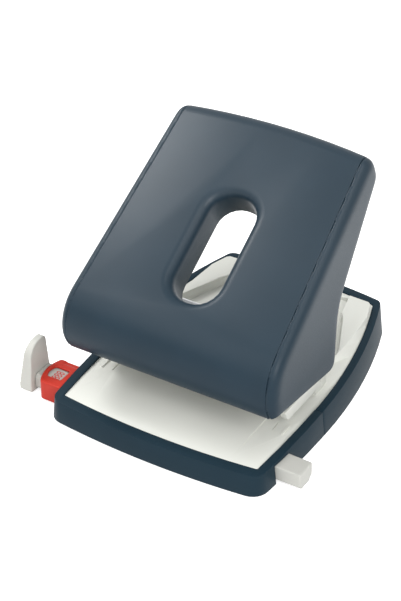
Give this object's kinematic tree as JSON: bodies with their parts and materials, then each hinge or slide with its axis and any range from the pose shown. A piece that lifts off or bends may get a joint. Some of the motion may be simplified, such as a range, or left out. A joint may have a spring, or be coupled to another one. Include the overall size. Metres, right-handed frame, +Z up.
{
  "type": "two-hole desk punch",
  "caption": "Lever-operated two-hole desk punch: rounded press handle with a finger hole, paper slot, sliding paper guide and pull-out chip tray.",
  "frame": {"origin": "on the desk, midway between the two punches, in the middle of the rubber strip under the tray", "axes": "+X to the user's right, +Y away from the user, +Z up"},
  "size_m": [0.172, 0.1747, 0.1368],
  "materials": {
    "shell_dark": "fine satin, dark blue-grey",
    "shell_handle": "satin paint, dark blue-grey",
    "deck_light": "satin, warm light grey",
    "guide_white": "satin, off-white",
    "guide_red": "semi-gloss red",
    "steel": "brushed",
    "foot_rubber": "matt black"
  },
  "bodies": {
    "base": {"base_frame": "shell_dark", "deck": "deck_light", "base_plate": "steel", "die_plate": "steel", "punch_housing": "deck_light", "guide_bridge": "steel", "paper_stop": "shell_dark", "pivot_pin": "steel", "pivot_clips": "steel", "plate_screws": "steel", "bridge_screws": "steel", "front_feet": "foot_rubber", "guide_sleeve": "guide_red", "guide_spring": "steel", "punch_spring_left": "steel", "punch_spring_right": "steel"},
    "tray": {"chip_tray": "shell_dark", "tray_feet": "foot_rubber"},
    "handle": {"handle_top": "shell_handle", "cheek_left": "shell_handle", "cheek_right": "shell_handle", "handle_liner": "shell_dark", "lever": "steel", "press_bar": "steel", "lever_screws": "steel"},
    "punch_l": {"punch_left": "steel", "punch_collar_left": "steel"},
    "punch_r": {"punch_right": "steel", "punch_collar_right": "steel"},
    "guide": {"guide_bar": "guide_white", "guide_stop": "guide_white"}
  },
  "joints": [
    {"name": "handle_press", "type": "hinge", "parent": "base", "child": "handle", "pos_m": [0, -0.027, 0.0528], "axis": [-1, 0, 0], "range_deg": [0, 16], "stiffness_Nm_per_rad": 1.5, "springref_deg": -8.59},
    {"name": "punch_left_stroke", "type": "slide", "parent": "base", "child": "punch_l", "axis": [0, 0, -1], "range_m": [0, 0.0075], "deforming": ["punch_spring_left"]},
    {"name": "punch_right_stroke", "type": "slide", "parent": "base", "child": "punch_r", "axis": [0, 0, -1], "range_m": [0, 0.0075], "deforming": ["punch_spring_right"]},
    {"name": "guide_slide", "type": "slide", "parent": "base", "child": "guide", "axis": [-1, 0, 0], "range_m": [-0.003, 0.064]},
    {"name": "tray_slide", "type": "slide", "parent": "base", "child": "tray", "axis": [0, 1, 0], "range_m": [0, 0.115]}
  ],
  "couplings": [
    {"joint": "punch_left_stroke", "follows": "handle_press", "m_per_rad": 0.0264},
    {"joint": "punch_right_stroke", "follows": "handle_press", "m_per_rad": 0.0264}
  ]
}
